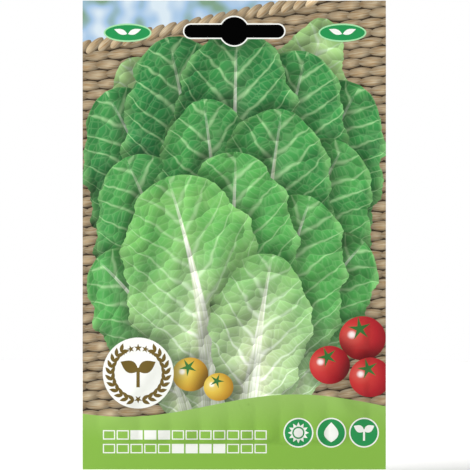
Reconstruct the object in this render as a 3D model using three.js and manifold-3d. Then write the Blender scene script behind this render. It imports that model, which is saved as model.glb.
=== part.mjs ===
// A flat seed packet: two printed sheets of coated paper, heat sealed to each other round the edge,
// with loose chicory seed in the pocket between them and a euro hang slot through the sealed header.
//
// Millimetres, +Z up. The packet hangs upright, with its printed front towards -Y. The two sheets
// meet in the plane y = 0, and the origin is the top of the slot's round middle, where a hook bears.

import * as THREE from "three";
import { mergeVertices } from "three/addons/utils/BufferGeometryUtils.js";
import Module from "manifold-3d";

const wasm = await Module();
wasm.setup();

// Driving dimensions.
const PACKET_WIDTH = 97;
const PACKET_HEIGHT = 150;
const SHEET_THICKNESS = 0.15;
const HEADER_HEIGHT = 22; // sealed solid, and it carries the slot
const SIDE_SEAL = 5;
const BOTTOM_SEAL = 8;
const FRONT_BULGE = 3.0; // how far the seed pushes each sheet out at the belly
const BACK_BULGE = 2.2;
const SLOT_LENGTH = 32; // euro slot: a bar with a round middle
const SLOT_BAR_HEIGHT = 4.2;
const SLOT_MIDDLE_DIAMETER = 9.1;
const SLOT_BELOW_TOP_EDGE = 9.8; // from the packet's top edge to the slot's centre line
const SEED_CLEARANCE = 0.1; // between the seed and each sheet
const SEED_WIDTH_SHARE = 0.9; // of the pocket's width
const SEED_FOOT_SHARE = 0.06; // of the pocket's height, from the bottom seal
const SEED_LEVEL_SHARE = 0.62;

// Places worked out from them.
const SLOT_CENTRE_Z = -SLOT_MIDDLE_DIAMETER / 2;
const TOP_Z = SLOT_CENTRE_Z + SLOT_BELOW_TOP_EDGE;
const BOTTOM_Z = TOP_Z - PACKET_HEIGHT;
const POCKET_TOP_Z = TOP_Z - HEADER_HEIGHT;
const POCKET_BOTTOM_Z = BOTTOM_Z + BOTTOM_SEAL;
const POCKET_HEIGHT = POCKET_TOP_Z - POCKET_BOTTOM_Z;
const POCKET_HALF_WIDTH = PACKET_WIDTH / 2 - SIDE_SEAL;

// Mesh fineness of the pocket.
const COLUMNS = 18;
const ROWS = 26;
const SLOT_ARC_STEPS = 10;

// How far a full pocket stands out at a point, from 0 at the seals to 1 at the belly. Across, it is a
// lens. Upwards, it rises quickly from the bottom seal, because loose seed settles there.
const RISE = 0.8;
const FALL = 1.6;
const BELLY_SHARE = RISE / (RISE + FALL);
const BELLY_PEAK = BELLY_SHARE ** RISE * (1 - BELLY_SHARE) ** FALL;

function fullness(x, z) {
  const across = Math.min(1, Math.abs(x) / POCKET_HALF_WIDTH);
  const up = THREE.MathUtils.clamp((z - POCKET_BOTTOM_Z) / POCKET_HEIGHT, 0, 1);
  return (1 - across ** 2) * (up ** RISE * (1 - up) ** FALL) / BELLY_PEAK;
}

function evenSteps(from, to, count) {
  return Array.from({ length: count + 1 }, (_, i) => from + ((to - from) * i) / count);
}

// A closed slab over a grid in X and Z, between a front surface and a back surface given as y(x, z).
function slab(xs, zs, frontY, backY) {
  const columns = xs.length;
  const rows = zs.length;
  const layer = columns * rows;
  const positions = [];
  for (const surfaceY of [frontY, backY]) {
    for (const z of zs) {
      for (const x of xs) {
        positions.push(x, surfaceY(x, z), z);
      }
    }
  }
  const index = [];
  const quad = (a, b, c, d) => index.push(a, b, c, a, c, d);
  const at = (column, row, back = 0) => back * layer + row * columns + column;
  for (let row = 0; row < rows - 1; row++) {
    for (let column = 0; column < columns - 1; column++) {
      quad(at(column, row), at(column + 1, row), at(column + 1, row + 1), at(column, row + 1));
      quad(at(column, row, 1), at(column, row + 1, 1), at(column + 1, row + 1, 1), at(column + 1, row, 1));
    }
  }
  for (let column = 0; column < columns - 1; column++) {
    const last = rows - 1;
    quad(at(column, 0, 1), at(column + 1, 0, 1), at(column + 1, 0), at(column, 0));
    quad(at(column, last), at(column + 1, last), at(column + 1, last, 1), at(column, last, 1));
  }
  for (let row = 0; row < rows - 1; row++) {
    const last = columns - 1;
    quad(at(0, row), at(0, row + 1), at(0, row + 1, 1), at(0, row, 1));
    quad(at(last, row, 1), at(last, row + 1, 1), at(last, row + 1), at(last, row));
  }
  const geometry = new THREE.BufferGeometry();
  geometry.setAttribute("position", new THREE.Float32BufferAttribute(positions, 3));
  geometry.setIndex(index);
  return geometry;
}

// The slot's outline: a bar with round ends, and a larger circle about its centre.
function slotOutline() {
  const endRadius = SLOT_BAR_HEIGHT / 2;
  const endX = SLOT_LENGTH / 2 - endRadius;
  const middleRadius = SLOT_MIDDLE_DIAMETER / 2;
  const meeting = Math.asin(endRadius / middleRadius); // where the circle leaves the bar's edge
  const outline = new THREE.Shape();
  outline.absarc(endX, 0, endRadius, -Math.PI / 2, Math.PI / 2, false);
  outline.absarc(0, 0, middleRadius, meeting, Math.PI - meeting, false);
  outline.absarc(-endX, 0, endRadius, Math.PI / 2, (3 * Math.PI) / 2, false);
  outline.absarc(0, 0, middleRadius, Math.PI + meeting, 2 * Math.PI - meeting, false);
  outline.closePath();
  return outline;
}

// The punch that cuts the slot, run through both sheets along Y.
function slotPunch() {
  const depth = 8 * SHEET_THICKNESS;
  const punch = new THREE.ExtrudeGeometry(slotOutline(), {
    depth,
    bevelEnabled: false,
    curveSegments: SLOT_ARC_STEPS,
  });
  punch.translate(0, 0, -depth / 2);
  punch.rotateX(Math.PI / 2);
  punch.translate(0, 0, SLOT_CENTRE_Z);
  return punch;
}

function toSolid(geometry) {
  const bare = geometry.clone();
  bare.deleteAttribute("normal");
  bare.deleteAttribute("uv");
  const merged = mergeVertices(bare);
  return new wasm.Manifold(
    new wasm.Mesh({
      numProp: 3,
      vertProperties: merged.attributes.position.array,
      triVerts: new Uint32Array(merged.index.array),
    }),
  );
}

function toGeometry(solid) {
  const mesh = solid.getMesh();
  const geometry = new THREE.BufferGeometry();
  geometry.setAttribute("position", new THREE.BufferAttribute(mesh.vertProperties, 3));
  geometry.setIndex(new THREE.BufferAttribute(mesh.triVerts, 1));
  geometry.computeVertexNormals();
  return geometry;
}

// One sheet of the packet. Its inner face lies in y = 0 on the seals and the header.
function sheet(side, bulge) {
  const pocketXs = evenSteps(-POCKET_HALF_WIDTH, POCKET_HALF_WIDTH, COLUMNS);
  const pocketZs = evenSteps(POCKET_BOTTOM_Z, POCKET_TOP_Z, ROWS);
  const xs = [-PACKET_WIDTH / 2, ...pocketXs, PACKET_WIDTH / 2];
  const zs = [BOTTOM_Z, ...pocketZs, TOP_Z];
  const inner = (x, z) => side * bulge * fullness(x, z);
  const outer = (x, z) => inner(x, z) + side * SHEET_THICKNESS;
  const whole = side < 0 ? slab(xs, zs, outer, inner) : slab(xs, zs, inner, outer);
  return toGeometry(toSolid(whole).subtract(toSolid(slotPunch())));
}

// The loose seed as one bulk: a cushion with a level top, just clear of both sheets.
function seedBulk() {
  const halfWidth = SEED_WIDTH_SHARE * POCKET_HALF_WIDTH;
  const footZ = POCKET_BOTTOM_Z + SEED_FOOT_SHARE * POCKET_HEIGHT;
  const levelZ = POCKET_BOTTOM_Z + SEED_LEVEL_SHARE * POCKET_HEIGHT;
  const xs = evenSteps(-halfWidth, halfWidth, COLUMNS - 2);
  const zs = evenSteps(footZ, levelZ, Math.round(ROWS * (SEED_LEVEL_SHARE - SEED_FOOT_SHARE)));
  const front = (x, z) => SEED_CLEARANCE - FRONT_BULGE * fullness(x, z);
  const back = (x, z) => BACK_BULGE * fullness(x, z) - SEED_CLEARANCE;
  const geometry = slab(xs, zs, front, back);
  geometry.computeVertexNormals();
  return geometry;
}

const printedGreen = new THREE.MeshStandardMaterial({ color: 0x62a35a, roughness: 0.42, metalness: 0 });
const printedPale = new THREE.MeshStandardMaterial({ color: 0xdfe8cf, roughness: 0.42, metalness: 0 });
const seedBrown = new THREE.MeshStandardMaterial({ color: 0x8a7250, roughness: 0.9, metalness: 0 });

function part(name, geometry, material) {
  const mesh = new THREE.Mesh(geometry, material);
  mesh.name = name;
  return mesh;
}

const packet = new THREE.Group();
packet.add(part("front_sheet", sheet(-1, FRONT_BULGE), printedGreen));
packet.add(part("back_sheet", sheet(1, BACK_BULGE), printedPale));
packet.add(part("seed_bulk", seedBulk(), seedBrown));

export default packet;
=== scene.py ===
import math

import bpy
import numpy as np
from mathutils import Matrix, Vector
from mathutils.geometry import delaunay_2d_cdt


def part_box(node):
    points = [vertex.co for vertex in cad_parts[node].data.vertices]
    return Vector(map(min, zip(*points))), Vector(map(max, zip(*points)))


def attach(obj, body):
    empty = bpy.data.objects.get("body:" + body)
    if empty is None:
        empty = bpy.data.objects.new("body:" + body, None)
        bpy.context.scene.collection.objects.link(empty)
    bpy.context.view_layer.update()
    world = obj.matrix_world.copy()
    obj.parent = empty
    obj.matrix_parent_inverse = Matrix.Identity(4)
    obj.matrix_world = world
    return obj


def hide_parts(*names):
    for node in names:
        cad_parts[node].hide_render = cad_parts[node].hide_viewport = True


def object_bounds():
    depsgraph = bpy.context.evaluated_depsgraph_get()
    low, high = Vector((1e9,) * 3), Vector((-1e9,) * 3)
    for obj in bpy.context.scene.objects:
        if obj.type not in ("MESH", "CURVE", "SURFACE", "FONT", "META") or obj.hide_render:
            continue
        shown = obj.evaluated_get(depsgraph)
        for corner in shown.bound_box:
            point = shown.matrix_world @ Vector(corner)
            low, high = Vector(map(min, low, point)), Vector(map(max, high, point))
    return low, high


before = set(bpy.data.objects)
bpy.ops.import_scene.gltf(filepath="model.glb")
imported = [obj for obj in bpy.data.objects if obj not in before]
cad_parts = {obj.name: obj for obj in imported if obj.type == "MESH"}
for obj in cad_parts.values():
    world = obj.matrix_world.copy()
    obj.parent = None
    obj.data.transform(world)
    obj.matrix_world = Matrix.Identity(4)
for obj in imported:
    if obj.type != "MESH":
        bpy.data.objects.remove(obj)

cad_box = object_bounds()

# ---- Studio -------------------------------------------------------------------------------------
# White background paper in a white room that gives soft light from all round. A large softbox to the
# upper left in front draws out the form, others fill from above and behind, and a long lens looks
# level at the middle of the hanging packet.

ROOM_LIGHT = 0.42  # the walls light the packet under half as strongly as they look
FLOOR_GAP = 0.004  # the packet hangs just clear of the floor
FLOOR_SIZE = 2.4
LENS = 300.0  # mm, as the sensor
SENSOR = 36.0
FRAME_PIXELS = 470
PACKET_PIXELS = 469  # the packet's height in the frame
OFF_CENTRE = 0.00024  # the lens looks this far to the right of the packet's middle


def linear(colour):
    """An sRGB hex colour, such as 0x8CBD50, as linear RGBA."""
    channels = [(colour >> shift & 255) / 255 for shift in (16, 8, 0)]
    return (*[c / 12.92 if c <= 0.04045 else ((c + 0.055) / 1.055) ** 2.4 for c in channels], 1.0)


def add(tree, kind, inputs=None, out=0, **settings):
    """Adds a node, sets it, feeds its sockets with values or with other sockets, and returns one output."""
    node = tree.nodes.new("ShaderNode" + kind)
    for name, value in settings.items():
        setattr(node, name, value)
    for place, value in (inputs or {}).items():
        if isinstance(value, bpy.types.NodeSocket):
            tree.links.new(value, node.inputs[place])
        else:
            node.inputs[place].default_value = value
    return node.outputs[out]


def new_material(name, **shader_values):
    """A material with only a Principled shader, and that shader's node tree."""
    material = bpy.data.materials.new(name)
    material.use_nodes = True
    shader = material.node_tree.nodes["Principled BSDF"]
    for socket, value in shader_values.items():
        shader.inputs[socket.replace("_", " ")].default_value = value
    return material, material.node_tree, shader


def new_object(name, points, faces, materials):
    mesh = bpy.data.meshes.new(name)
    mesh.from_pydata([tuple(map(float, p)) for p in points], [], faces)
    for material in materials:
        mesh.materials.append(material)
    made = bpy.data.objects.new(name, mesh)
    bpy.context.collection.objects.link(made)
    return made


def softbox(name, place, aim, size, power):
    light = bpy.data.lights.new(name, "AREA")
    light.shape = "SQUARE"
    light.size = size
    light.energy = power
    made = bpy.data.objects.new(name, light)
    made.location = place
    made.rotation_euler = (Vector(aim) - Vector(place)).to_track_quat("-Z", "Y").to_euler()
    bpy.context.collection.objects.link(made)


world = bpy.data.worlds.new("white_room")
bpy.context.scene.world = world
world.use_nodes = True
world.node_tree.nodes["Background"].inputs["Color"].default_value = (1, 1, 1, 1)
seen = add(world.node_tree, "LightPath", out="Is Camera Ray")
strength = add(world.node_tree, "MapRange", {"Value": seen, "To Min": ROOM_LIGHT, "To Max": 1.0})
world.node_tree.links.new(strength, world.node_tree.nodes["Background"].inputs["Strength"])
bpy.context.scene.view_settings.view_transform = "Standard"

low, high = cad_box
middle = (low + high) / 2

# Seamless background paper: matte, and so white that only its shadows show.
floor_paper, floor_tree, floor_shader = new_material("background_paper", Roughness=0.9)
floor_grain = add(floor_tree, "TexNoise", {"Scale": 40.0, "Detail": 3.0})
floor_white = add(floor_tree, "ValToRGB", {"Fac": floor_grain})
floor_white.node.color_ramp.elements[0].color = linear(0xF4F4F2)
floor_white.node.color_ramp.elements[1].color = linear(0xFAFAF9)
floor_tree.links.new(floor_white, floor_shader.inputs["Base Color"])
half_floor = FLOOR_SIZE / 2
floor_z = low.z - FLOOR_GAP
floor = new_object(
    "floor",
    [(x * half_floor, y * half_floor, floor_z) for x, y in ((-1, -1), (1, -1), (1, 1), (-1, 1))],
    [(0, 1, 2, 3)],
    [floor_paper],
)

softbox("key_softbox", (-1.2, -0.95, 0.7), middle, 0.6, 29.5)
softbox("back_softbox", (-0.6, 1.2, 0.8), middle, 0.6, 9.0)
softbox("top_softbox", (0.3, 0.8, 1.5), (0.3, 0.8, 0.0), 1.5, 9.0)

lens_data = bpy.data.cameras.new("camera")
lens_data.lens = LENS
lens_data.sensor_width = SENSOR
lens_data.clip_end = 40.0
camera = bpy.data.objects.new("camera", lens_data)
bpy.context.collection.objects.link(camera)
half_view = math.atan(SENSOR / 2 / LENS)
view_height = (high.z - low.z) * FRAME_PIXELS / PACKET_PIXELS
stand_off = view_height / 2 / math.tan(half_view)
camera.location = (OFF_CENTRE, -stand_off, middle.z)
camera.rotation_euler = (math.radians(90), 0, 0)
bpy.context.scene.camera = camera

# ---- The packet's form --------------------------------------------------------------------------
# Two sheets of paper laminated with a thin clear film, heat sealed to each other round the edge. The
# seed pushes both sheets out into a pillow, which draws small puckers in from the seals.
# Across runs from -48.5 to 48.5 mm, and up from 0 at the bottom edge, both as seen from that side.

WIDTH = (high.x - low.x) * 1000
HEIGHT = (high.z - low.z) * 1000
SHEET = 0.15  # the laminated paper's thickness, in mm, as the sizes below
HEADER = 22.0
SIDE_SEAL = 5.0
BOTTOM_SEAL = 8.0
RISE = 0.8  # how fast the pocket fills out above the bottom seal
FALL = 1.6  # and how fast it thins towards the header
POCKET_HALF = WIDTH / 2 - SIDE_SEAL
POCKET_HEIGHT = HEIGHT - HEADER - BOTTOM_SEAL
BELLY = RISE / (RISE + FALL)
BELLY_PEAK = BELLY**RISE * (1 - BELLY) ** FALL
SEED_LEVEL = BOTTOM_SEAL + 0.62 * POCKET_HEIGHT


def smooth(x, start, end):
    """0 below start, 1 above end, and a soft step between."""
    share = np.clip((x - start) / (end - start), 0, 1)
    return share * share * (3 - 2 * share)


def fullness(across, up):
    """How far the pocket stands out, from 0 at the seals to 1 at the belly."""
    a = np.minimum(1, np.abs(across) / POCKET_HALF)
    b = np.clip((up - BOTTOM_SEAL) / POCKET_HEIGHT, 0, 1)
    return (1 - a**2) * b**RISE * (1 - b) ** FALL / BELLY_PEAK


def ripple(x, pitch, phase):
    """Round swells from 0 to 1 with a crease between each and the next, whose pitch wanders."""
    return np.abs(np.sin(np.pi * x / pitch + 0.8 * np.sin(x / (1.9 * pitch) + phase) + phase))


def puckers(across, up, phase):
    """Small tucks that start on a seal line and fade into the pocket, in mm."""
    from_side = np.clip(POCKET_HALF - np.abs(across), 0, None)
    from_foot = np.clip(up - BOTTOM_SEAL, 0, None)
    from_header = np.clip(HEIGHT - HEADER - up, 0, None)
    inside = (from_side > 0) & (from_foot > 0) & (from_header > 0)
    side_phase = phase + 2.1 * np.sign(across)
    side = 0.70 * ripple(up, 8.0, side_phase) * np.exp(-from_side / 6) * smooth(from_side, 0, 2.5)
    foot = 1.00 * ripple(across, 8.5, phase) * np.exp(-from_foot / 6) * smooth(from_foot, 0, 2.5)
    head = 0.40 * ripple(across, 13.0, phase + 1) * np.exp(-from_header / 18) * smooth(from_header, 0, 5)
    calm = smooth(from_side, 0, 9) * smooth(from_foot, 0, 9)
    return inside * (side * smooth(from_foot, 2, 14) * smooth(from_header, 0, 30)
                     + foot * smooth(from_side, 2, 12) + head * calm)


def corner_folds(across, up):
    """A soft fold from each corner of the pocket towards the belly, in mm."""
    folds = 0.0
    for corner_up, aim_up, stands in ((BOTTOM_SEAL, 62.0, 0.8), (HEIGHT - HEADER, 76.0, 0.6)):
        way = np.array([8.0 - POCKET_HALF, aim_up - corner_up])
        way /= np.hypot(*way)
        in_, on = np.abs(across) - POCKET_HALF, up - corner_up
        along, off = in_ * way[0] + on * way[1], in_ * way[1] - on * way[0]
        folds += stands * np.exp(-(off / 3.2) ** 2) * smooth(along, 3, 15) * (1 - smooth(along, 24, 56))
    return folds


def seed_relief(across, up, phase):
    """The seeds behind the sheet, felt as a faint unevenness about 2.5 mm apart, in mm."""
    bumps = (np.sin(2.3 * across + 1.3 * np.sin(1.1 * up + phase))
             * np.sin(2.1 * up + 1.7 * np.sin(0.9 * across + phase)))
    return 0.035 * bumps * smooth(fullness(across, up), 0.25, 0.7) * smooth(SEED_LEVEL - up, 0, 15)


def sway(x, up):
    """How the whole packet is out of flat, towards the back, in mm. The same for both sheets."""
    edge = np.clip((np.abs(x) / (WIDTH / 2) - 0.55) / 0.45, 0, 1)
    header = np.clip((up - (HEIGHT - HEADER)) / HEADER, 0, 1)
    foot = np.clip((2 * BOTTOM_SEAL - up) / (2 * BOTTOM_SEAL), 0, 1)
    return (0.45 * edge**2 * np.sin(up / 31 + 0.8 * np.sign(x))
            + 0.7 * header**2 - 0.35 * foot**2 * np.cos(x / 17))


def packet_surface(points, side, bulge, lift):
    """Places flat points (across, up) on a sheet, lift mm out from its inner face. side is -1 in front."""
    across, up = points[:, 0], points[:, 1]
    out = bulge * fullness(across, up) + puckers(across, up, side * 1.7) + corner_folds(across, up)
    out = np.clip(out + seed_relief(across, up, side), 0, bulge)
    x = -side * across
    y = side * (out + lift) + sway(x, up)
    return np.column_stack([x, y, up + low.z * 1000]) / 1000


def edge_points(outline, spacing):
    """A closed outline with its long edges cut into steps of about spacing."""
    ends = np.roll(outline, -1, axis=0)
    made = []
    for start, end in zip(outline, ends):
        steps = max(1, round(float(np.linalg.norm(end - start)) / spacing))
        made += [start + (end - start) * i / steps for i in range(steps)]
    return np.array(made)


def ellipse(x, y, wide, high_, turn=0.0, count=48):
    a = np.linspace(0, 2 * np.pi, count, endpoint=False)
    flat = np.column_stack([wide / 2 * np.cos(a), high_ / 2 * np.sin(a)])
    c, s = math.cos(math.radians(turn)), math.sin(math.radians(turn))
    return flat @ np.array([[c, s], [-s, c]]) + (x, y)


def rectangle(x0, y0, x1, y1):
    return np.array([(x0, y0), (x1, y0), (x1, y1), (x0, y1)], float)


# The hang slot is punched through both sheets: a 32 mm bar with round ends and a 9.1 mm round middle.
SLOT_UP = HEIGHT - 9.8
SLOT_LENGTH = 32.0
SLOT_BAR = 4.2
SLOT_MIDDLE = 9.1


def slot_outline(grow):
    """The slot's outline, grown by some mm on every side."""
    bar, middle_radius = SLOT_BAR / 2 + grow, SLOT_MIDDLE / 2 + grow
    end = SLOT_LENGTH / 2 + grow - bar
    meet = math.asin(bar / middle_radius)
    arcs = [(end, bar, -math.pi / 2, math.pi / 2), (0, middle_radius, meet, math.pi - meet),
            (-end, bar, math.pi / 2, 1.5 * math.pi), (0, middle_radius, math.pi + meet, 2 * math.pi - meet)]
    made = []
    for centre, radius, start, stop in arcs:
        for a in np.linspace(start, stop, 18):
            made.append((centre + radius * math.cos(a), SLOT_UP + radius * math.sin(a)))
    return np.array(made)


# Two small black cards stand far behind the header, where the packet hides them, so that the slot
# shows as a dark hole to the camera and from 3 degrees above it.
CARD_BEHIND = 1.0  # m
CARD_MARGIN = 1.25
# Black felt: fully matt, so that it stays black under the lights.
card_felt, card_tree, card_shader = new_material("black_card", Roughness=1.0, Specular_IOR_Level=0.0)
card_grain = add(card_tree, "TexNoise", {"Scale": 300.0})
card_black = add(card_tree, "ValToRGB", {"Fac": card_grain})
card_black.node.color_ramp.elements[0].color = linear(0x020202)
card_black.node.color_ramp.elements[1].color = linear(0x060606)
card_tree.links.new(card_black, card_shader.inputs["Base Color"])
slot_middle = Vector((0, 0, low.z + SLOT_UP / 1000))
half_slot = Vector((SLOT_LENGTH / 2000, 0, SLOT_MIDDLE / 2000)) * CARD_MARGIN
raised = math.radians(3)
raised_distance = (high - low).length / 2 / math.sin(half_view) * 1.03
raised_eye = middle + Vector((0, -math.cos(raised), math.sin(raised))) * raised_distance
card_points = []
for eye in (Vector(camera.location), raised_eye):
    reach = (CARD_BEHIND - eye.y) / (slot_middle.y - eye.y)
    card_middle = eye + (slot_middle - eye) * reach
    for sx, sz in ((-1, -1), (1, -1), (1, 1), (-1, 1)):
        card_points.append(card_middle + Vector((sx * half_slot.x, 0, sz * half_slot.z)) * reach)
cards = new_object("black_cards", card_points, [(0, 1, 2, 3), (4, 5, 6, 7)], [card_felt])

# ---- Front sheet: the drawing -------------------------------------------------------------------
# The picture is printed in flat inks and screened greens: a bunch of broad leafy greens fanned out
# against a basket, with small tomatoes, a round seal and a green foot band. Each shape is painted
# over those before it. All places are in mm, from the middle of the bottom edge.

dice = np.random.default_rng(7)
front_drawing = []


def paint(drawing, ink, outline, **facts):
    """Adds a shape to a drawing. facts hold what its ink needs to know."""
    turned = np.sum(outline[:, 0] * np.roll(outline[:, 1], -1) - outline[:, 1] * np.roll(outline[:, 0], -1))
    drawing.append({"ink": ink, "outline": outline if turned > 0 else outline[::-1], **facts})


def paint_rod(x, y, long, thick, turn):
    """One visible stretch of a woven rod, rounded across."""
    outline = ellipse(x, y, long, thick, turn, 28)
    paint(front_drawing, "wicker", outline, middle=(x, y), turn=turn, reach=(long / 2, thick / 2))


STALK_HALF = 4.6  # a leaf's stalk at its foot, in mm


def paint_leaf(foot, tip, width, turn, tone, rib):
    """A broad leaf from foot to tip on a curved spine, with a waved and finely toothed edge."""
    chord = np.subtract(tip, foot)
    length = float(np.hypot(*chord)) * (1 + math.radians(turn) ** 2 / 24)
    count = int(length / 0.7)
    t = np.linspace(0, 1, count)
    angle = math.atan2(chord[1], chord[0]) + np.radians(turn * (t - 0.5))
    along = np.column_stack([np.cos(angle), np.sin(angle)])
    spine = np.array(foot) + np.vstack([[0, 0], np.cumsum(along[:-1], axis=0)]) * length / (count - 1)
    across = np.column_stack([-along[:, 1], along[:, 0]])
    stalk = 2 * STALK_HALF / width
    rise = stalk + (1 - stalk) * smooth(t, 0.08, 0.60)
    half = width / 2 * rise * np.sqrt(1 - np.clip((t - 0.55) / 0.45, 0, 1) ** 2.3)
    phase = dice.uniform(0, 6.28, 4)
    mm = t * length
    sides = []
    for sign, p in ((1, phase[:2]), (-1, phase[2:])):
        wave = 1.0 * np.sin(mm / 2.9 + 1.3 * np.sin(mm / 9 + p[0]) + p[0]) + 0.5 * np.sin(mm / 1.3 + p[1])
        teeth = 0.5 * np.abs((mm / 2.3 + p[1] + 0.3 * np.sin(mm / 3)) % 1.0)
        out_to = half + (wave + teeth) * smooth(t, 0.05, 0.5) * np.clip(half / (0.3 * width), 0, 1)
        sides.append(spine + across * (sign * out_to)[:, None])
    outline = np.vstack([sides[1], sides[0][::-1]])
    paint(front_drawing, "leaf", outline, spine=spine, along=along, across=across, half=half,
          full_half=width / 2 * rise, length=length, width=width, tone=tone, rib=rib, phase=phase)


def leaf_height(u, v, leaf):
    """The drawn leaf's own relief, in mm: cupped, with frills along its edges and soft waves."""
    t = np.clip(u / leaf["length"], 0, 1)
    half = np.interp(t, np.linspace(0, 1, len(leaf["half"])), leaf["full_half"])
    s = np.clip(np.abs(v) / half, 0, 1.2)
    p = np.where(v > 0, leaf["phase"][0], leaf["phase"][2])
    frill = 1.3 * s**3 * np.sin(u / 2.9 + 1.3 * np.sin(u / 9 + p) + p)
    wave = 0.8 * np.sin(u / 7.5 + 0.25 * v + leaf["phase"][0]) * np.sin(v / 5.0 + 0.1 * u + leaf["phase"][1])
    groove = -0.5 * np.exp(-(v / 2.6) ** 2)
    return 0.075 * leaf["width"] * s**2 + groove + (frill + wave) * smooth(t, 0.1, 0.45)


LIGHT = np.array([-0.42, 0.50, 0.76])  # where the drawn light comes from: upper left


def read_leaf(points, leaf):
    """Where each point lies on a leaf: along and across it in mm and as shares, and its light."""
    gap = np.sum((points[:, None] - leaf["spine"][None]) ** 2, axis=2)
    near = np.argmin(gap, axis=1)
    away = points - leaf["spine"][near]
    along, across = leaf["along"][near], leaf["across"][near]
    u = near * leaf["length"] / (len(leaf["spine"]) - 1) + np.sum(away * along, axis=1)
    v = np.sum(away * across, axis=1)
    t = np.clip(u / leaf["length"], 0, 1)
    half = np.interp(t, np.linspace(0, 1, len(leaf["half"])), leaf["half"])
    step = 0.3
    slope_u = (leaf_height(u + step, v, leaf) - leaf_height(u - step, v, leaf)) / (2 * step)
    slope_v = (leaf_height(u, v + step, leaf) - leaf_height(u, v - step, leaf)) / (2 * step)
    slope = along * slope_u[:, None] + across * slope_v[:, None]
    facing = (LIGHT[2] - slope @ LIGHT[:2]) / np.sqrt(1 + np.sum(slope**2, axis=1)) / LIGHT[2]
    return np.column_stack([u, v]), np.column_stack([t, v / np.maximum(half, 0.5)]), facing


edge = WIDTH / 2
paint(front_drawing, "shade", rectangle(-edge, 0, edge, HEIGHT))

# The basket behind the greens: rods woven over and under upright stakes, up to a braided rim that
# rises to the right past a corner of sky. It is left out where the leaves cover it.
ROD_PITCH = 3.1
STAKE_PITCH = 7.0
RIM_SLOPE = 0.21
for row in range(46):
    for column in range(16):
        x = -edge - 2 + (column + 0.5 * (row % 2)) * STAKE_PITCH
        y = 12 + row * ROD_PITCH
        if y > 96 or abs(x) > 20:
            paint_rod(x + dice.uniform(-0.3, 0.3), y + RIM_SLOPE * 0.4 * x, STAKE_PITCH * 1.22,
                      ROD_PITCH * 1.02, dice.uniform(-4, 4) + 5)
paint(front_drawing, "sky", np.array([(-edge - 2, HEIGHT - 15.5), (20, HEIGHT - 1), (24, HEIGHT + 2),
                                      (-edge - 2, HEIGHT + 2)]))
for i in range(20):
    x = -edge + i * 3.9
    paint_rod(x, HEIGHT - 15.2 + RIM_SLOPE * (x + edge), 7.2, 2.9, 42)

# The greens stand in rows from one tied foot. Two blanched ones show behind the others, then come the
# tallest and darkest, and the front ones are pale.
FOOT_UP = 3.0
FOOT_SPREAD = 0.26
ROWS = [  # tips, width, tone, rib half width, how far outer leaves arch outwards
    (((-33, 132), (30, 143)), 31, 1.60, 4.6, 20),
    (((-41, 121), (41, 124), (-20, 137), (24, 134), (2, 142)), 44, 0.18, 4.4, 26),
    (((-34, 101), (36, 103), (-11, 119), (14, 116)), 42, 0.40, 4.6, 24),
    (((-43, 66), (42, 72)), 32, 0.60, 4.0, 34),
    (((26, 86), (2, 101)), 40, 0.62, 4.8, 20),
    (((-23, 93),), 46, 0.98, 5.2, 24),
    (((13, 70),), 32, 0.92, 4.6, 12),
]
for tips, width, tone, rib, arch in ROWS:
    for x, y in tips:
        paint_leaf(
            (FOOT_SPREAD * x, FOOT_UP),
            (x + dice.uniform(-1.5, 1.5), y + dice.uniform(-1.5, 1.5)),
            width * dice.uniform(0.95, 1.06),
            -arch * x / 35 + dice.uniform(-5, 5),
            tone + dice.uniform(-0.08, 0.08),
            rib,
        )


def paint_tomato(x, y, size, ink):
    """A small round tomato with its five-pointed green cap."""
    reach = (size / 2, size * 0.47)
    paint(front_drawing, ink, ellipse(x, y, size, size * 0.94), middle=(x, y), turn=0.0, reach=reach)
    turn = dice.uniform(0, 72)
    a = np.radians(np.arange(10) * 36 + turn)
    r = np.where(np.arange(10) % 2 == 0, 0.26 * size, 0.075 * size)
    cap = np.column_stack([r * np.cos(a) + x - 0.06 * size, r * np.sin(a) + y + 0.2 * size])
    paint(front_drawing, "cap", cap)


for x, y, size in ((41.0, 42.0, 15.0), (30.5, 33.5, 13.0), (43.5, 29.5, 13.5)):
    paint_tomato(x, y, size, "red")
for x, y, size in ((-14.0, 30.5, 11.5), (-5.0, 26.5, 9.5)):
    paint_tomato(x, y, size, "yellow")


def paint_band(drawing, ink, level, wave, start, below=True):
    """A band from the bottom edge up, or from the top edge down, with one long wave for its other edge."""
    band_x = np.linspace(-edge, edge, 80)
    band_y = level + wave * np.sin((band_x + start) / 17.5)
    end = 0 if below else HEIGHT
    paint(drawing, ink, np.vstack([[(-edge, end), (edge, end)], np.column_stack([band_x, band_y])[::-1]]))


paint_band(front_drawing, "band", 20.5, 3.6, 8)


def arc_leaf(x, y, long, wide, turn, count=10):
    """A small pointed leaf with its foot at x, y, for the wreath and the pictograms."""
    s = np.linspace(0, 1, count)
    w = wide / 2 * np.sin(np.pi * s**0.85)
    flat = np.vstack([np.column_stack([s * long, -w]), np.column_stack([s * long, w])[::-1][1:-1]])
    c, k = math.cos(math.radians(turn)), math.sin(math.radians(turn))
    return flat @ np.array([[c, k], [-k, c]]) + (x, y)


def star(x, y, size, turn=90.0, points=5, waist=0.4):
    a = np.radians(np.arange(2 * points) * 180 / points + turn)
    r = np.where(np.arange(2 * points) % 2 == 0, size / 2, size / 2 * waist)
    return np.column_stack([x + r * np.cos(a), y + r * np.sin(a)])


def paint_sprout(drawing, x, y, size, ink):
    """A seedling: a short stem with two seed leaves."""
    stem = rectangle(x - 0.05 * size, y - 0.45 * size, x + 0.05 * size, y + 0.12 * size)
    paint(drawing, ink, stem)
    for turn in (28, 152):
        paint(drawing, ink, arc_leaf(x, y + 0.02 * size, 0.58 * size, 0.36 * size, turn))


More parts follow.
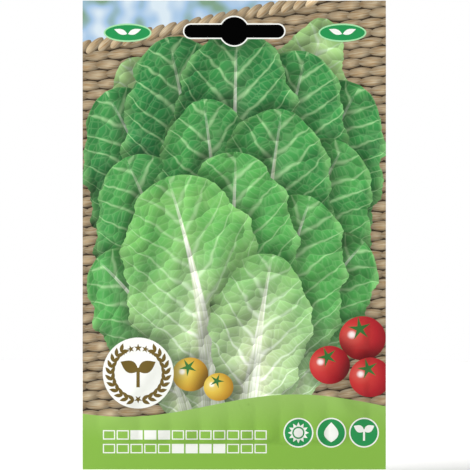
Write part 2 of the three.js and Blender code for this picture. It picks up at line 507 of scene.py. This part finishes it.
# The round white seal: a laurel wreath with stars, and a seedling in the middle.
SEAL = (-30.7, 30.9)
SEAL_SIZE = 22.7
paint(front_drawing, "white", ellipse(*SEAL, SEAL_SIZE, SEAL_SIZE, count=72))
for side in (-1, 1):
    for i in range(11):
        a = math.radians(-82 + i * 13.2)
        r = 0.385 * SEAL_SIZE
        x, y = SEAL[0] + side * r * math.cos(a), SEAL[1] + r * math.sin(a)
        heading = math.degrees(a) + 90
        for lean in (-34, 30):
            turn = heading + lean
            twig = arc_leaf(x, y, 2.9, 1.25, turn if side > 0 else 180 - turn, 7)
            paint(front_drawing, "gold", twig)
for i in range(5):
    a = math.radians(90 + (i - 2) * 17)
    size = 2.8 - 0.3 * abs(i - 2)
    spot = (SEAL[0] + 8.0 * math.cos(a), SEAL[1] + 8.0 * math.sin(a))
    paint(front_drawing, "gold", star(*spot, size, math.degrees(a)))
paint(front_drawing, "gold", star(SEAL[0], SEAL[1] - 8.4, 2.7, 270))
paint_sprout(front_drawing, SEAL[0], SEAL[1] + 0.4, 11.0, "gold")


def paint_months(drawing, x, y, cell, filled, ink, ground):
    """Twelve cells, one for each month, outlined in an ink and filled for the months that count."""
    for month in range(12):
        left = x + month * cell * 1.13
        paint(drawing, ink, rectangle(left, y, left + cell, y + 0.77 * cell))
        if month not in filled:
            paint(drawing, ground, rectangle(left + 0.35, y + 0.35, left + cell - 0.35, y + 0.77 * cell - 0.35))


def paint_sign(drawing, sign, x, y, size):
    """A round sign with a white ring: sun, water or seedling."""
    paint(drawing, "white", ellipse(x, y, size, size))
    paint(drawing, "deep_green", ellipse(x, y, 0.91 * size, 0.91 * size))
    if sign == "sun":
        paint(drawing, "white", star(x, y, 0.71 * size, 90, 12, 0.66))
        paint(drawing, "deep_green", ellipse(x, y, 0.41 * size, 0.41 * size))
        paint(drawing, "white", ellipse(x, y, 0.31 * size, 0.31 * size))
    elif sign == "water":
        paint(drawing, "white", arc_leaf(x, y - 0.32 * size, 0.67 * size, 0.48 * size, 90, 16))
    else:
        paint_sprout(drawing, x, y + 0.03 * size, 0.67 * size, "white")


# On the foot band: sowing months over harvest months, and signs for sun, water and seedling.
paint_months(front_drawing, -42.0, 9.6, 3.9, (2, 3, 4), "white", "band")
paint_months(front_drawing, -42.0, 5.2, 3.9, (5, 6, 7, 8), "white", "band")
for sign, x in (("sun", 20.5), ("water", 31.0), ("seedling", 41.5)):
    paint_sign(front_drawing, sign, x, 11.8, 9.6)

# Two ovals beside the slot, each with a pale line round it and a plain pair of leaves.
for x in (-34.1, 34.6):
    paint(front_drawing, "pale_line", ellipse(x, SLOT_UP - 0.5, 15.3, 5.9))
    paint(front_drawing, "deep_green", ellipse(x, SLOT_UP - 0.5, 14.3, 4.9))
    for shift, turn in ((0.15, 20), (-0.15, 160)):
        paint(front_drawing, "white", arc_leaf(x + shift, SLOT_UP - 0.9, 4.4, 1.7, turn))

paint(front_drawing, "white", slot_outline(0.42))
paint(front_drawing, None, slot_outline(0.0))

# ---- Front sheet: the mesh ----------------------------------------------------------------------
# The flat drawing is cut into small triangles along every printed edge, laid on the pillow, and given
# the sheet's thickness with a plain inner face and a cut edge of bare paper.


def cut_up(drawing, spacing):
    """Triangulates a drawing. Returns its points, its triangles and the shape that shows in each."""
    rows = np.arange(0, HEIGHT + spacing / 2, HEIGHT / round(HEIGHT / spacing))
    columns = np.linspace(-edge, edge, round(WIDTH / spacing) + 1)
    points = []
    for number, up in enumerate(rows[1:-1]):
        shift = 0.25 * spacing * (1 if number % 2 else -1)
        points += [(x + shift, up) for x in columns[1:-1]]
    rings = []
    for shape in drawing:
        outline = edge_points(shape["outline"], spacing)
        rings.append(list(range(len(points), len(points) + len(outline))))
        points += [tuple(p) for p in outline]
    made = delaunay_2d_cdt([Vector(p) for p in points], [], rings, 0, 1e-5, True)
    flat = np.array([tuple(p) for p in made[0]])
    hole = {i for i, shape in enumerate(drawing) if shape["ink"] is None}
    triangles, owners = [], []
    for corners, inside in zip(made[2], made[5]):
        if 0 in inside and not hole & set(inside):
            triangles.append(corners)
            owners.append(max(inside))
    return flat, np.array(triangles), np.array(owners)


def cast_shadow(points, owner, drawing, reach):
    """How much the shapes painted over a leaf darken it near their edges, from 0 to 1."""
    dark = np.zeros(len(points))
    for shape in drawing[owner + 1:]:
        if shape["ink"] not in ("leaf", "red", "yellow", "white", "wicker"):
            continue
        box_low, box_high = shape["outline"].min(axis=0) - 2 * reach, shape["outline"].max(axis=0) + 2 * reach
        close = np.all((points > box_low) & (points < box_high), axis=1)
        if close.any():
            gap = np.sum((points[close][:, None] - shape["outline"][None]) ** 2, axis=2).min(axis=1)
            dark[close] = np.maximum(dark[close], np.exp(-gap / reach**2))
    return dark


def sheet_mesh(name, drawing, inks, side, bulge, spacing):
    """The printed sheet as one closed mesh, with what the inks read stored on its corners."""
    flat, triangles, owners = cut_up(drawing, spacing)
    used = np.unique(triangles)
    renumber = np.zeros(len(flat), int)
    renumber[used] = np.arange(len(used))
    flat, triangles = flat[used], renumber[triangles]
    count = len(flat)
    outer = packet_surface(flat, side, bulge, SHEET)
    inner = packet_surface(flat, side, bulge, 0.0)
    sides = {}
    for a, b, c in triangles.tolist():
        for start, end in ((a, b), (b, c), (c, a)):
            if (end, start) in sides:
                del sides[end, start]
            else:
                sides[start, end] = True
    rim = [(end, start, start + count, end + count) for start, end in sides]
    inner_faces = [(c + count, b + count, a + count) for a, b, c in triangles.tolist()]
    faces = triangles.tolist() + inner_faces + rim
    names = list(inks)
    made = new_object(name, np.vstack([outer, inner]), faces, [inks[n] for n in names])
    mesh = made.data
    ink_of = [names.index(shape["ink"] or "paper") for shape in drawing]
    index = [ink_of[o] for o in owners] + [names.index("paper")] * (len(inner_faces) + len(rim))
    mesh.polygons.foreach_set("material_index", index)

    corners = 3 * len(triangles)
    total = len(mesh.loops)
    place, share = np.zeros((total, 2)), np.zeros((total, 2))
    light = np.ones((total, 4))
    corner_points = flat[triangles.reshape(-1)]
    corner_owner = np.repeat(owners, 3)
    for number, shape in enumerate(drawing):
        mine = np.flatnonzero(corner_owner == number)
        if not len(mine):
            continue
        spots, back = np.unique(triangles.reshape(-1)[mine], return_inverse=True)
        spots = flat[spots]
        if shape["ink"] == "leaf":
            mm, parts, facing = read_leaf(spots, shape)
            place[mine], share[mine] = mm[back], parts[back]
            dark = cast_shadow(spots, number, drawing, 3.4)
            light[mine] = np.column_stack([
                0.5 * facing, 1 - dark, np.full(len(spots), shape["tone"]),
                np.full(len(spots), shape["rib"] / 10)])[back]
        elif "reach" in shape:
            away = spots - shape["middle"]
            c, s = math.cos(math.radians(shape["turn"])), math.sin(math.radians(shape["turn"]))
            turned = away @ np.array([[c, -s], [s, c]])
            share[mine] = (turned / shape["reach"])[back]
            place[mine] = turned[back] + number * 7.0
            dark = cast_shadow(spots, number, drawing, 3.4)
            light[mine, 1] = (1 - dark)[back]
    # A flat map without overlaps: the outer face large, and the inner face and each bit of cut edge small.
    flat_map = np.zeros((total, 2))
    spread = (flat + (edge, 0)) / HEIGHT
    flat_map[:corners] = 0.005 + 0.99 * spread[triangles.reshape(-1)]
    flat_map[corners:2 * corners] = (0.66, 0.005) + 0.48 * spread[triangles[:, ::-1].reshape(-1)]
    cell = np.arange(len(rim))
    cell_low = np.column_stack([0.66 + 0.011 * (cell % 29), 0.51 + 0.016 * (cell // 29)])
    square = np.array([(0, 0), (0.008, 0), (0.008, 0.012), (0, 0.012)])
    flat_map[2 * corners:] = (cell_low[:, None] + square).reshape(-1, 2)
    for title, values in (("ink_mm", place), ("ink_share", share), ("OFBake", flat_map)):
        layer = mesh.uv_layers.new(name=title)
        layer.data.foreach_set("uv", values.reshape(-1))
    tint = mesh.color_attributes.new("ink_light", "FLOAT_COLOR", "CORNER")
    tint.data.foreach_set("color", light.reshape(-1))
    mesh.shade_smooth()
    mesh.set_sharp_from_angle(angle=math.radians(50))
    return made


# ---- Front sheet: the inks ----------------------------------------------------------------------
# Litho inks on coated paper under a clear satin film: colours sit flat in the sheet, and every one
# shares the film's soft sheen. The film's gloss is IOR 1.5, and its fine pebble breaks up reflections.

FILM_ROUGHNESS = 0.30
FILM_PEBBLE = 0.35  # mm


def printed(name):
    """An ink under the film: its tree, its shader and its place in mm."""
    material, tree, shader = new_material(name, Roughness=FILM_ROUGHNESS, IOR=1.5, Specular_IOR_Level=0.2)
    where = add(tree, "TexCoord", out="Object")
    mm = add(tree, "VectorMath", {0: where, "Scale": 1000.0}, operation="SCALE")
    pebble = add(tree, "TexNoise", {"Vector": mm, "Scale": 1 / FILM_PEBBLE, "Detail": 1.0})
    bump = add(tree, "Bump", {"Height": pebble, "Strength": 0.05, "Distance": 0.00002})
    tree.links.new(bump, shader.inputs["Normal"])
    return material, tree, shader, mm


def flat_ink(name, colour, uneven):
    """A solid ink whose strength varies a little, as solids do on a press."""
    material, tree, shader, mm = printed(name)
    cloud = add(tree, "TexNoise", {"Vector": mm, "Scale": 0.06, "Detail": 3.0})
    shade = add(tree, "ValToRGB", {"Fac": cloud})
    base = np.array(linear(colour))
    for element, gain in zip(shade.node.color_ramp.elements, (1 - uneven, 1 + uneven)):
        element.color = (*np.clip(base[:3] * gain, 0, 1), 1)
    tree.links.new(shade, shader.inputs["Base Color"])
    return material


def leaf_ink():
    """Screened greens for the leaves: white rib and base, pale side veins, a fine net and puffed cells."""
    material, tree, shader, mm = printed("leaf_green_inks")
    place = add(tree, "UVMap", uv_map="ink_mm")
    place_parts = add(tree, "SeparateXYZ", {0: place}).node.outputs
    u, v = place_parts[0], place_parts[1]
    share_parts = add(tree, "SeparateXYZ", {0: add(tree, "UVMap", uv_map="ink_share")}).node.outputs
    t, s = share_parts[0], share_parts[1]
    light = add(tree, "Attribute", attribute_name="ink_light").node.outputs
    light_parts = add(tree, "SeparateColor", {0: light["Color"]}).node.outputs
    form, open_, tone = light_parts[0], light_parts[1], light_parts[2]
    off_rib = add(tree, "Math", {0: v}, operation="ABSOLUTE")
    to_edge = add(tree, "Math", {0: s}, operation="ABSOLUTE")

    # Where the rib is, and how wide.
    left = add(tree, "Math", {0: 1.0, 1: t}, operation="SUBTRACT")
    taper = add(tree, "Math", {0: left, 1: 2.2}, operation="POWER")
    rib_mm = add(tree, "Math", {0: light["Alpha"], 1: 10.0}, operation="MULTIPLY")
    rib_half = add(tree, "Math", {0: taper, 1: rib_mm, 2: 0.3}, operation="MULTIPLY_ADD")
    rib_soft = add(tree, "Math", {0: rib_half, 1: 1.6}, operation="MULTIPLY")
    rib_fade = add(tree, "MapRange", {"Value": left, "From Min": 0.02, "From Max": 0.24})
    rib = add(tree, "MapRange", {"Value": off_rib, "From Min": rib_half, "From Max": rib_soft,
                                 "To Min": rib_fade, "To Max": 0.0}, interpolation_type="SMOOTHSTEP")

    # Side veins leave the rib forwards every 8 mm and bend towards the tip, one side between the other's.
    wander = add(tree, "TexNoise", {"Vector": place, "Scale": 0.11, "Detail": 2.0})
    wander_mm = add(tree, "Math", {0: wander, 1: 7.0, 2: -3.5}, operation="MULTIPLY_ADD")
    forward = add(tree, "Math", {0: off_rib, 1: -0.95, 2: u}, operation="MULTIPLY_ADD")
    squared = add(tree, "Math", {0: off_rib, 1: off_rib}, operation="MULTIPLY")
    bent = add(tree, "Math", {0: squared, 1: -0.012, 2: forward}, operation="MULTIPLY_ADD")
    side_step = add(tree, "Math", {0: v, 1: 0.0}, operation="GREATER_THAN")
    stepped = add(tree, "Math", {0: side_step, 1: 4.1, 2: bent}, operation="MULTIPLY_ADD")
    track = add(tree, "Math", {0: stepped, 1: wander_mm}, operation="ADD")
    from_vein = add(tree, "Math", {0: track, 1: 4.1}, operation="PINGPONG")
    vein_half = add(tree, "MapRange", {"Value": to_edge, "To Min": 1.8, "To Max": 0.35})
    vein = add(tree, "MapRange", {"Value": from_vein, "From Max": vein_half, "To Min": 1.0, "To Max": 0.0},
               interpolation_type="SMOOTHSTEP")
    small_track = add(tree, "Math", {0: off_rib, 1: 0.8, 2: u}, operation="MULTIPLY_ADD")
    small_moved = add(tree, "Math", {0: wander_mm, 1: 1.3, 2: small_track}, operation="MULTIPLY_ADD")
    from_small = add(tree, "Math", {0: small_moved, 1: 1.35}, operation="PINGPONG")
    small = add(tree, "MapRange", {"Value": from_small, "From Max": 0.5, "To Min": 0.22, "To Max": 0.0},
                interpolation_type="SMOOTHSTEP")
    net_place = add(tree, "VectorMath", {0: place, 1: (1.0, 0.8, 1.0)}, operation="MULTIPLY")
    net_gap = add(tree, "TexVoronoi", {"Vector": net_place, "Scale": 0.33},
                  feature="DISTANCE_TO_EDGE")
    net = add(tree, "MapRange", {"Value": net_gap, "From Max": 0.11, "To Min": 0.24, "To Max": 0.0},
              interpolation_type="SMOOTHSTEP")

    # The leaf puffs up between its veins: each cell of the net is lit on its upper left side.
    cell = add(tree, "TexVoronoi", {"Vector": net_place, "Scale": 0.33}, out="Position")
    from_cell = add(tree, "VectorMath", {0: net_place, 1: cell}, operation="SUBTRACT")
    lit = add(tree, "VectorMath", {0: from_cell, 1: (0.62, 0.45, 0.0)}, operation="DOT_PRODUCT", out="Value")
    puff = add(tree, "Math", {0: lit, 1: 0.17}, operation="MULTIPLY")

    # Greens: dark to bright by patches and by the leaf's own tone, then pale towards foot and rib.
    patch = add(tree, "TexNoise", {"Vector": mm, "Scale": 0.09, "Detail": 4.0, "Roughness": 0.6})
    toned = add(tree, "Math", {0: patch, 1: 0.75, 2: tone}, operation="MULTIPLY_ADD")
    strength = add(tree, "Math", {0: toned, 1: 0.55}, operation="MULTIPLY")
    greens = add(tree, "ValToRGB", {"Fac": strength})
    ramp = greens.node.color_ramp
    ramp.elements[0].position, ramp.elements[0].color = 0.15, linear(0x1F6A38)
    ramp.elements[1].position, ramp.elements[1].color = 0.95, linear(0x88BC68)
    ramp.elements.new(0.38).color = linear(0x357F3F)
    ramp.elements.new(0.66).color = linear(0x4F994B)
    tone_step = add(tree, "Math", {0: tone, 1: 4.0}, operation="POWER")
    pale_end = add(tree, "Math", {0: tone_step, 1: 26.0, 2: 54.0}, operation="MULTIPLY_ADD")
    foot = add(tree, "MapRange", {"Value": u, "From Min": 14.0, "From Max": pale_end, "To Min": 1.0,
                                  "To Max": 0.0}, interpolation_type="SMOOTHSTEP")
    halo = add(tree, "MapRange", {"Value": off_rib, "From Min": 0.0, "From Max": 7.0, "To Min": 0.4,
                                  "To Max": 0.0}, interpolation_type="SMOOTHSTEP")
    inward = add(tree, "MapRange", {"Value": to_edge, "To Min": 1.1, "To Max": 0.55})
    foot_in = add(tree, "Math", {0: foot, 1: inward}, operation="MULTIPLY")
    halo_left = add(tree, "Math", {0: halo, 1: left}, operation="MULTIPLY")
    pale = add(tree, "Math", {0: foot_in, 1: halo_left}, operation="ADD", use_clamp=True)
    rim = add(tree, "MapRange", {"Value": to_edge, "From Min": 0.86, "From Max": 1.02, "To Max": 0.35},
              interpolation_type="SMOOTHSTEP")
    rimmed = add(tree, "Mix", {"Factor": rim, "A": greens, "B": linear(0x8DBF78)}, out=2, data_type="RGBA")
    blade = add(tree, "Mix", {"Factor": pale, "A": rimmed, "B": linear(0xBBC99E)}, out=2, data_type="RGBA")
    veins = add(tree, "Math", {0: vein, 1: net}, operation="MAXIMUM")
    all_veins = add(tree, "Math", {0: veins, 1: small}, operation="MAXIMUM")
    vein_tone = add(tree, "Mix", {"Factor": pale, "A": linear(0x9CC48C), "B": linear(0xEDF1E4)}, out=2,
                    data_type="RGBA")
    vein_strength = add(tree, "Math", {0: pale, 1: 0.32, 2: 0.62}, operation="MULTIPLY_ADD")
    veined_share = add(tree, "Math", {0: all_veins, 1: vein_strength}, operation="MULTIPLY", use_clamp=True)
    veined = add(tree, "Mix", {"Factor": veined_share, "A": blade, "B": vein_tone}, out=2,
                 data_type="RGBA")
    strand_place = add(tree, "VectorMath", {0: place, 1: (0.05, 1.6, 1.0)}, operation="MULTIPLY")
    strand = add(tree, "TexNoise", {"Vector": strand_place, "Scale": 1.0, "Detail": 2.0})
    rib_tone = add(tree, "ValToRGB", {"Fac": strand})
    rib_tone.node.color_ramp.elements[0].position = 0.35
    rib_tone.node.color_ramp.elements[0].color = linear(0xBFCBA8)
    rib_tone.node.color_ramp.elements[1].position = 0.62
    rib_tone.node.color_ramp.elements[1].color = linear(0xE4E9DC)
    ribbed = add(tree, "Mix", {"Factor": rib, "A": veined, "B": rib_tone}, out=2, data_type="RGBA")

    # Light drawn on the leaf: its own form, its puffed cells, and the leaves that lie over it.
    full_form = add(tree, "Math", {0: form, 1: 2.0, 2: puff}, operation="MULTIPLY_ADD")
    dim = add(tree, "MapRange", {"Value": open_, "To Min": 0.45, "To Max": 1.0})
    lightness = add(tree, "Math", {0: full_form, 1: dim}, operation="MULTIPLY")
    drawn = add(tree, "VectorMath", {0: ribbed, "Scale": lightness}, operation="SCALE")
    tree.links.new(drawn, shader.inputs["Base Color"])
    return material


def round_ink(name, ramp_colours, glint):
    """A small round fruit: dark round its rim, bright to the upper left, with a soft glint."""
    material, tree, shader, _ = printed(name)
    share = add(tree, "UVMap", uv_map="ink_share")
    from_glint = add(tree, "VectorMath", {0: share, 1: (-0.46, 0.16, 0.0)}, operation="DISTANCE", out="Value")
    tone = add(tree, "ValToRGB", {"Fac": add(tree, "Math", {0: from_glint, 1: 0.62}, operation="MULTIPLY")})
    ramp = tone.node.color_ramp
    ramp.elements[0].color = linear(ramp_colours[0])
    ramp.elements[1].color = linear(ramp_colours[-1])
    for i, colour in enumerate(ramp_colours[1:-1], 1):
        ramp.elements.new(i / (len(ramp_colours) - 1)).color = linear(colour)
    spot = add(tree, "MapRange", {"Value": from_glint, "From Min": 0.05, "From Max": 0.24, "To Min": glint,
                                  "To Max": 0.0}, interpolation_type="SMOOTHSTEP")
    shone = add(tree, "Mix", {"Factor": spot, "A": tone, "B": (1, 1, 1, 1)}, out=2, data_type="RGBA")
    light = add(tree, "Attribute", attribute_name="ink_light")
    open_ = add(tree, "SeparateColor", {0: light}, out=1)
    dim = add(tree, "MapRange", {"Value": open_, "To Min": 0.4, "To Max": 1.0})
    drawn = add(tree, "VectorMath", {0: shone, "Scale": dim}, operation="SCALE")
    tree.links.new(drawn, shader.inputs["Base Color"])
    return material


def wicker_ink():
    """Tan willow rods: round across, split along the grain, and darker where they dive under a stake."""
    material, tree, shader, _ = printed("willow_tan_inks")
    parts = add(tree, "SeparateXYZ", {0: add(tree, "UVMap", uv_map="ink_share")}).node.outputs
    place = add(tree, "UVMap", uv_map="ink_mm")
    stretched = add(tree, "VectorMath", {0: place, 1: (0.22, 2.4, 1.0)}, operation="MULTIPLY")
    grain = add(tree, "TexNoise", {"Vector": stretched, "Scale": 1.0, "Detail": 4.0})
    willow = add(tree, "ValToRGB", {"Fac": grain})
    willow.node.color_ramp.elements[0].position = 0.3
    willow.node.color_ramp.elements[0].color = linear(0xBE9968)
    willow.node.color_ramp.elements[1].position = 0.7
    willow.node.color_ramp.elements[1].color = linear(0xE8D8B8)
    from_top = add(tree, "Math", {0: parts[1], 1: 0.35}, operation="SUBTRACT")
    down = add(tree, "Math", {0: from_top, 1: from_top}, operation="MULTIPLY")
    end = add(tree, "Math", {0: parts[0], 1: parts[0]}, operation="MULTIPLY")
    fall = add(tree, "Math", {0: down, 1: -0.48, 2: 1.22}, operation="MULTIPLY_ADD")
    round_ = add(tree, "Math", {0: end, 1: -0.42, 2: fall}, operation="MULTIPLY_ADD")
    open_ = add(tree, "SeparateColor", {0: add(tree, "Attribute", attribute_name="ink_light")}, out=1)
    dim = add(tree, "MapRange", {"Value": open_, "To Min": 0.35, "To Max": 1.0})
    lightness = add(tree, "Math", {0: round_, 1: dim}, operation="MULTIPLY")
    drawn = add(tree, "VectorMath", {0: willow, "Scale": lightness}, operation="SCALE")
    tree.links.new(drawn, shader.inputs["Base Color"])
    return material


def sky_ink():
    """Pale blue and white, out of focus, with soft green blurs, behind the basket."""
    material, tree, shader, mm = printed("sky_blue_inks")
    blur = add(tree, "TexNoise", {"Vector": mm, "Scale": 0.11, "Detail": 1.0})
    sky = add(tree, "ValToRGB", {"Fac": blur})
    ramp = sky.node.color_ramp
    ramp.elements[0].position, ramp.elements[0].color = 0.34, linear(0x72917A)
    ramp.elements[1].position, ramp.elements[1].color = 0.66, linear(0xC2CFD8)
    ramp.elements.new(0.48).color = linear(0x93AFCB)
    tree.links.new(sky, shader.inputs["Base Color"])
    return material


def band_ink():
    """The foot band's screened green: a soft lighter glow under its waved upper edge."""
    material, tree, shader, mm = printed("band_green_ink")
    parts = add(tree, "SeparateXYZ", {0: mm}).node.outputs
    up = add(tree, "Math", {0: parts[2], 1: -low.z * 1000}, operation="ADD")
    swell = add(tree, "Math", {0: add(tree, "Math", {0: parts[0], 1: 17.5}, operation="DIVIDE")},
                operation="SINE")
    lifted = add(tree, "Math", {0: swell, 1: -2.5, 2: up}, operation="MULTIPLY_ADD")
    green = add(tree, "ValToRGB", {"Fac": add(tree, "Math", {0: lifted, 1: 24.0}, operation="DIVIDE")})
    ramp = green.node.color_ramp
    ramp.elements[0].position, ramp.elements[0].color = 0.45, linear(0x7DAA41)
    ramp.elements[1].position, ramp.elements[1].color = 1.0, linear(0x8FB35E)
    tree.links.new(green, shader.inputs["Base Color"])
    return material


def bare_paper():
    """Uncoated paper inside the packet and along its cut edges: matte, with a faint fibre cloud."""
    material, tree, shader = new_material("bare_paper", Roughness=0.92, Specular_IOR_Level=0.25)
    mm = add(tree, "VectorMath", {0: add(tree, "TexCoord", out="Object"), "Scale": 1000.0}, operation="SCALE")
    fibre = add(tree, "TexNoise", {"Vector": mm, "Scale": 1.6, "Detail": 5.0})
    tone = add(tree, "ValToRGB", {"Fac": fibre})
    tone.node.color_ramp.elements[0].color = linear(0xD3D1CB)
    tone.node.color_ramp.elements[1].color = linear(0xE0DFDB)
    tree.links.new(tone, shader.inputs["Base Color"])
    bump = add(tree, "Bump", {"Height": fibre, "Strength": 0.15, "Distance": 0.00003})
    tree.links.new(bump, shader.inputs["Normal"])
    return material


front_inks = {
    "leaf": leaf_ink(),
    "wicker": wicker_ink(),
    "sky": sky_ink(),
    "shade": flat_ink("deep_shade_ink", 0x33281B, 0.35),
    "red": round_ink("tomato_red_inks", (0xD25F53, 0xBE3432, 0xA21C25, 0x700F16), 0.75),
    "yellow": round_ink("tomato_yellow_inks", (0xDDCD7D, 0xD3B446, 0xBB8F2D, 0x855C18), 0.75),
    "cap": flat_ink("cap_green_ink", 0x356E34, 0.3),
    "band": band_ink(),
    "deep_green": flat_ink("deep_green_ink", 0x208749, 0.04),
    "pale_line": flat_ink("pale_green_ink", 0x98CE9C, 0.02),
    "gold": flat_ink("gold_brown_ink", 0x635120, 0.12),
    "white": flat_ink("unprinted_white", 0xE1E2DD, 0.01),
    "paper": bare_paper(),
}

FRONT_BULGE = -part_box("front_sheet")[0].y * 1000 - SHEET
front = sheet_mesh("printed_front_sheet", front_drawing, front_inks, -1, FRONT_BULGE, 0.9)
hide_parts("front_sheet")
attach(front, "root")

# ---- Back sheet ---------------------------------------------------------------------------------
# The same laminated paper, printed in a few flat inks on a pale ground: green header and foot, the
# sowing months, a strip of soil with plants from seed to full size, and a bare white label panel.

back_drawing = []
paint(back_drawing, "pale_ground", rectangle(-edge, 0, edge, HEIGHT))
paint_band(back_drawing, "pale_line", 129.4, 2.4, 20, below=False)
paint_band(back_drawing, "deep_green", 130.5, 2.4, 20, below=False)
paint_band(back_drawing, "pale_line", 12.6, 2.4, 4)
paint_band(back_drawing, "band", 11.5, 2.4, 4)

paint_months(back_drawing, -40.5, 114.0, 6.0, (2, 3, 4), "deep_green", "white")
paint_months(back_drawing, -40.5, 107.0, 6.0, (5, 6, 7, 8), "gold", "white")

SOIL_UP = 74.0
paint(back_drawing, "white", rectangle(-41.5, 62.0, 41.5, 101.5))
paint(back_drawing, "soil", rectangle(-40.5, 63.0, 40.5, SOIL_UP))
STAGES = ((-33.0, 0.0), (-20.0, 4.5), (-5.5, 9.5), (11.0, 15.0), (29.0, 20.0))
for x, size in STAGES:
    paint(back_drawing, "pale_ground", ellipse(x, SOIL_UP - 3.6, 2.6, 1.4, 20, 20))
    if size:
        stem = rectangle(x - 0.3, SOIL_UP - 3.6, x + 0.3, SOIL_UP + 0.2 * size)
        paint(back_drawing, "cap", stem)
        for turn in (24, 50, 74, 106, 130, 156)[:: 1 if size > 9 else 3]:
            leaf = arc_leaf(x, SOIL_UP + 0.05 * size, size * (0.62 + 0.5 * abs(math.sin(math.radians(turn)))),
                            0.36 * size, turn, 16)
            paint(back_drawing, "pale_line", leaf)
            paint(back_drawing, "deep_green", (leaf - leaf.mean(axis=0)) * 0.86 + leaf.mean(axis=0))

for sign, x in (("sun", -33.5), ("water", -19.5), ("seedling", -5.5)):
    paint_sign(back_drawing, sign, x, 44.0, 12.0)
paint(back_drawing, "pale_line", rectangle(6.5, 25.5, 41.5, 55.0))
paint(back_drawing, "white", rectangle(7.0, 26.0, 41.0, 54.5))
paint(back_drawing, "white", slot_outline(0.42))
paint(back_drawing, None, slot_outline(0.0))

back_inks = {
    "pale_ground": flat_ink("pale_ground_ink", 0xD7DAC7, 0.015),
    "soil": flat_ink("soil_brown_ink", 0x6E5235, 0.3),
    **{name: front_inks[name] for name in ("band", "deep_green", "pale_line", "gold", "cap", "white", "paper")},
}
BACK_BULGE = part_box("back_sheet")[1].y * 1000 - SHEET
back = sheet_mesh("printed_back_sheet", back_drawing, back_inks, 1, BACK_BULGE, 1.1)
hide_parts("back_sheet")
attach(back, "root")

# ---- The seed -----------------------------------------------------------------------------------
# Loose chicory seed: blunt ribbed wedges about 2.5 mm long, light to dark brown, lying flat between
# the sheets where the pocket is thickest.

SEED_LONG = 2.5
SEED_WIDE = 1.15
SEED_THICK = 0.8
LAYER = 0.95


def seed_points(spot, long_way, up_way, scale):
    """One seed as five rings of six points: a narrow foot, ribbed sides and a blunt crown."""
    side_way = long_way.cross(up_way)
    made = []
    for along, wide in ((-0.5, 0.25), (-0.32, 0.62), (0.05, 0.92), (0.38, 1.0), (0.5, 0.72)):
        for i in range(6):
            a = i * math.pi / 3
            made.append(spot + long_way * (along * SEED_LONG * scale)
                        + side_way * (math.cos(a) * wide * SEED_WIDE / 2 * scale)
                        + up_way * (math.sin(a) * wide * SEED_THICK / 2 * scale))
    return made


SEED_FACES = [(r * 6 + 6 + i, r * 6 + 6 + (i + 1) % 6, r * 6 + (i + 1) % 6, r * 6 + i)
              for r in range(4) for i in range(6)]
SEED_ENDS = [tuple(range(6)), tuple(range(29, 23, -1))]
seed_low, seed_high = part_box("seed_bulk")
points, faces = [], []
for across in np.arange(seed_low.x * 1000 + 2, seed_high.x * 1000 - 1, 2.9):
    for up in np.arange((seed_low.z - low.z) * 1000 + 2, (seed_high.z - low.z) * 1000 - 1, 2.2):
        full = float(fullness(across, up))
        front_y, back_y = -FRONT_BULGE * full + 0.75, BACK_BULGE * full - 0.75
        for layer in range(int(max(0.0, back_y - front_y) / LAYER)):
            x, z = across + dice.uniform(-0.5, 0.5), up + dice.uniform(-0.3, 0.3)
            y = front_y + (layer + 0.5) * LAYER
            turn, tip = dice.uniform(0, 2 * math.pi), dice.uniform(-0.2, 0.2)
            long_way = Vector((math.cos(turn) * math.cos(tip), math.sin(tip), math.sin(turn) * math.cos(tip)))
            up_way = long_way.cross(Vector((-math.sin(turn), 0, math.cos(turn)))).normalized()
            first = len(points)
            spot = Vector((x, y + float(sway(x, up)), z + low.z * 1000))
            points += [p / 1000 for p in seed_points(spot, long_way, up_way, dice.uniform(0.82, 1.0))]
            faces += [tuple(first + i for i in face) for face in SEED_FACES + SEED_ENDS]

# The husk is dull and dry, in patches from straw to dark brown.
husk, husk_tree, husk_shader = new_material("seed_husk", Roughness=0.78, Specular_IOR_Level=0.3)
husk_mm = add(husk_tree, "VectorMath", {0: add(husk_tree, "TexCoord", out="Object"), "Scale": 1000.0},
              operation="SCALE")
husk_patch = add(husk_tree, "TexNoise", {"Vector": husk_mm, "Scale": 0.5, "Detail": 4.0})
husk_tone = add(husk_tree, "ValToRGB", {"Fac": husk_patch})
husk_tone.node.color_ramp.elements[0].position = 0.3
husk_tone.node.color_ramp.elements[0].color = linear(0x4E3B28)
husk_tone.node.color_ramp.elements[1].position = 0.7
husk_tone.node.color_ramp.elements[1].color = linear(0xB59A72)
husk_tree.links.new(husk_tone, husk_shader.inputs["Base Color"])
seed = new_object("loose_seed", points, faces, [husk])
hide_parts("seed_bulk")
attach(seed, "root")
